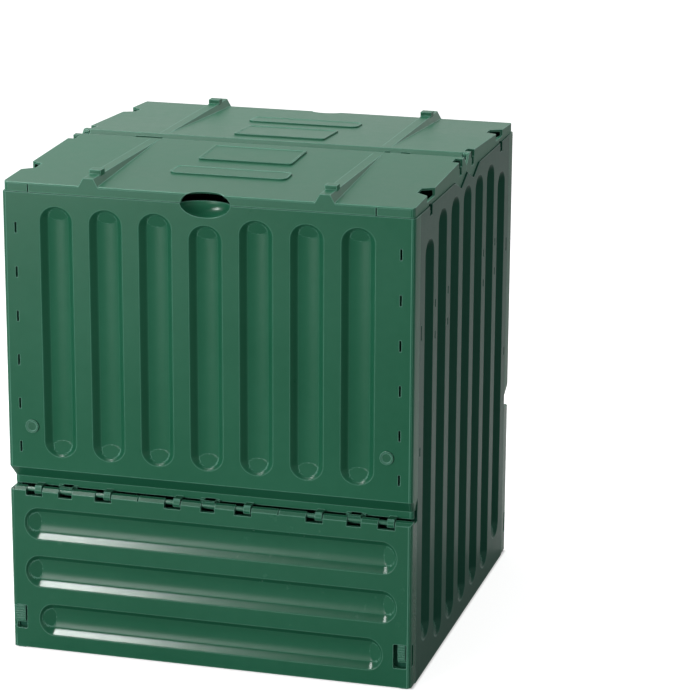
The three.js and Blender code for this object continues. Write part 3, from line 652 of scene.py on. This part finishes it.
plates = {
    "panel": {"half": 0.082, "low": -0.146, "high": -0.050, "corner": 0.0065,
              "rise": 0.0034, "border": 0.0042, "drop": 0.0014},
    "strip": {"half": 0.101, "low": -0.243, "high": -0.195, "corner": 0.012,
              "rise": 0.0028, "border": 0.0028, "drop": 0.0009},
    "sunk": 0.0012, "edge": 0.0008, "steps": 6, "smooth": 35, "edgeSteps": 2,
    "roofSlope": 0.03952, "roofMiddle": 0.82979,
}


# a raised plate with a rim and a lower middle, laid on the slope of the lid
def addPlate(name):
    kind = plates[name]
    plate = startBlock("front_lid_" + name, (-kind["half"], kind["low"], -plates["sunk"]),
                       (kind["half"], kind["high"], kind["rise"]))
    choose(plate, "edges", lambda middle, way: abs(way.z) > straight)
    bpy.ops.mesh.bevel(offset=kind["corner"], segments=plates["steps"], affect="EDGES")
    bpy.ops.object.mode_set(mode="OBJECT")
    choose(plate, "faces", lambda middle, facing: facing.z > straight)
    bpy.ops.mesh.inset(thickness=kind["border"])
    bpy.ops.mesh.inset(thickness=kind["drop"], depth=-kind["drop"])
    bpy.ops.object.mode_set(mode="OBJECT")
    roundEdges(plate, plates["edge"], plates["smooth"], plates["edgeSteps"])
    slope = Matrix.Rotation(math.atan(plates["roofSlope"]), 4, "X")
    plate.data.transform(Matrix.Translation((0, 0, plates["roofMiddle"])) @ slope)
    finishPiece(plate, "lid", "lid_front")
    finishPiece(halfTurned(plate, "rear_lid_" + name), "lid", "lid_rear")


for plateName in ("panel", "strip"):
    addPlate(plateName)
print("lid plates made")


# pegs and latches

pegHead = {"x": 0.306, "z": 0.400, "radius": 0.0117, "sides": 12, "front": -0.3617, "back": -0.3592,
           "ring": 0.0030, "drop": 0.0010, "edge": 0.0004, "smooth": 20, "around": 0.02, "before": -0.37}


# the CAD peg with a wider drum for its head, lower in the middle
def addPeg(side, way):
    piece = mergedCopy("front_peg_" + side, "front_peg_" + side + "_detailed")
    across, around = way * pegHead["x"], pegHead["around"]
    halfway = (pegHead["back"] + pegHead["front"]) / 2
    bpy.ops.object.select_all(action="DESELECT")
    bpy.ops.mesh.primitive_cylinder_add(
        vertices=pegHead["sides"], radius=pegHead["radius"], depth=pegHead["back"] - pegHead["front"],
        location=(across, halfway, pegHead["z"]), rotation=(math.pi / 2, 0, 0))
    head = bpy.context.active_object
    bpy.ops.object.transform_apply(location=True, rotation=True, scale=True)
    choose(head, "faces", lambda middle, facing: facing.y < -straight)
    bpy.ops.mesh.inset(thickness=pegHead["ring"])
    bpy.ops.mesh.inset(thickness=pegHead["drop"] / 2, depth=-pegHead["drop"])
    bpy.ops.object.mode_set(mode="OBJECT")
    front = startBlock("front", (across - around, pegHead["before"], pegHead["z"] - around),
                       (across + around, halfway, pegHead["z"] + around))
    cutOrJoin(piece, front, "DIFFERENCE")
    cutOrJoin(piece, head, "UNION")
    roundEdges(piece, pegHead["edge"], pegHead["smooth"], 1)
    return piece


for side, way in (("left", -1), ("right", 1)):
    piece = addPeg(side, way)
    opposite = "rear_peg_" + side
    other = halfTurned(piece, opposite + "_detailed")
    for part, nodeName in ((piece, "front_peg_" + side), (other, opposite)):
        finishPiece(part, "trim", "shell")
        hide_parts(nodeName)
print("pegs made")


grip = {
    "left": (-0.3470, -0.3280), "right": (0.3270, 0.3400), "front": -0.3563, "back": -0.3510,
    "low": 0.0500, "high": 0.0775, "corner": 0.0016,
    "gaps": {"left": ((-0.3279, -0.3560, 0.0450), (-0.3225, -0.3500, 0.0795)),
             "right": ((0.3222, -0.3560, 0.0450), (0.3269, -0.3500, 0.0795))},
    "ridge": 0.0013, "ridgeOut": 0.0007, "ridges": 6, "ridgeFrom": 0.0530, "ridgePitch": 0.0042,
    "edge": 0.0004, "smooth": 30,
}


# the CAD latch with a wider thumb tab and ridges across it
def addLatch(side):
    piece = mergedCopy("front_latch_" + side, "front_latch_" + side + "_detailed")
    left, right = grip[side]
    cutOrJoin(piece, startBlock("gap", *grip["gaps"][side]), "DIFFERENCE")
    tab = roundedBlock((left, grip["front"], grip["low"]),
                       (right, grip["back"], grip["high"]), grip["corner"])
    cutOrJoin(piece, tab, "UNION")
    inset = grip["corner"]
    ridge = startBlock("ridge", (left + inset, grip["front"] - grip["ridgeOut"], grip["ridgeFrom"]),
                       (right - inset, grip["front"] + grip["ridgeOut"], grip["ridgeFrom"] + grip["ridge"]))
    row = ridge.modifiers.new("row", "ARRAY")
    row.count = grip["ridges"]
    row.use_relative_offset = False
    row.use_constant_offset = True
    row.constant_offset_displace = (0, 0, grip["ridgePitch"])
    bpy.ops.object.modifier_apply(modifier=row.name)
    cutOrJoin(piece, ridge, "UNION")
    roundEdges(piece, grip["edge"], grip["smooth"], 1)
    return piece


for side in ("left", "right"):
    piece = addLatch(side)
    other = halfTurned(piece, "rear_latch_" + side + "_detailed")
    for part, nodeName in ((piece, "front_latch_" + side), (other, "rear_latch_" + side)):
        finishPiece(part, "trim", bodyOf(nodeName))
        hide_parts(nodeName)
print("latches made")


# floor and backdrop

# pale where it is looked at, darker for the light that it throws back
def addFloor():
    shader = Shader(bpy.data.materials.new("floor"))
    path = shader.node("LightPath")
    mirrored = path.beside("Is Glossy Ray").most(path.beside("Is Transmission Ray"))
    pale = {"Base Color": light["floorColor"], "Roughness": light["floorRough"], "Specular IOR Level": 0.0}
    glow = {"Emission Color": light["white"], "Emission Strength": light["floorGlow"]}
    lit = shader.node("BsdfPrincipled", None, pale)
    seen = shader.node("BsdfPrincipled", None, {**pale, **glow})
    shade = shader.node("BsdfDiffuse", None, {"Color": light["floorShade"]})
    surface = shader.node("MixShader", None, {0: mirrored, 1: shade, 2: lit})
    # no glow on the ground inside the bin
    place = shader.node("SeparateXYZ", None, {0: shader.node("TexCoord", out="Object")})
    farther = place.beside("X").absolute().most(place.beside("Y").absolute())
    beyond = ((farther - light["glowFrom"]) * light["glowRise"]).clamped()
    glowing = path.beside("Is Camera Ray") * beyond
    surface = shader.node("MixShader", None, {0: glowing, 1: surface, 2: seen})
    bpy.ops.object.select_all(action="DESELECT")
    bpy.ops.mesh.primitive_plane_add(size=light["floorSize"], location=(0, 0, 0))
    floor = bpy.context.active_object
    floor.name = "floor"
    floor.data.materials.append(shader.finish(surface))


# white round about and dark overhead, as the gloss on the bin shows
def setWorld():
    shader = Shader(bpy.data.worlds.new("world"))
    path = shader.node("LightPath")
    camera = path.beside("Is Camera Ray")
    mirrored = path.beside("Is Glossy Ray").most(path.beside("Is Transmission Ray"))
    height = shader.node("SeparateXYZ", None, {0: shader.node("TexCoord", out="Generated")}, out="Z")
    up = (height - light["overheadFrom"]) / (light["overheadTo"] - light["overheadFrom"])
    studio = 1.0 - up.clamped() * (1.0 - light["overhead"])
    around = mirrored * studio + (1.0 - mirrored) * light["worldStrength"]
    strength = camera + (1.0 - camera) * around
    background = shader.node("Background", None, {"Color": light["white"], "Strength": strength})
    scene.world = shader.finish(background, "OutputWorld")


addCamera()
for lampName, kind in light["lamps"].items():
    addLamp(lampName, kind)
addFloor()
setWorld()
scene.view_settings.view_transform = "Standard"
print("camera, light and floor ready")
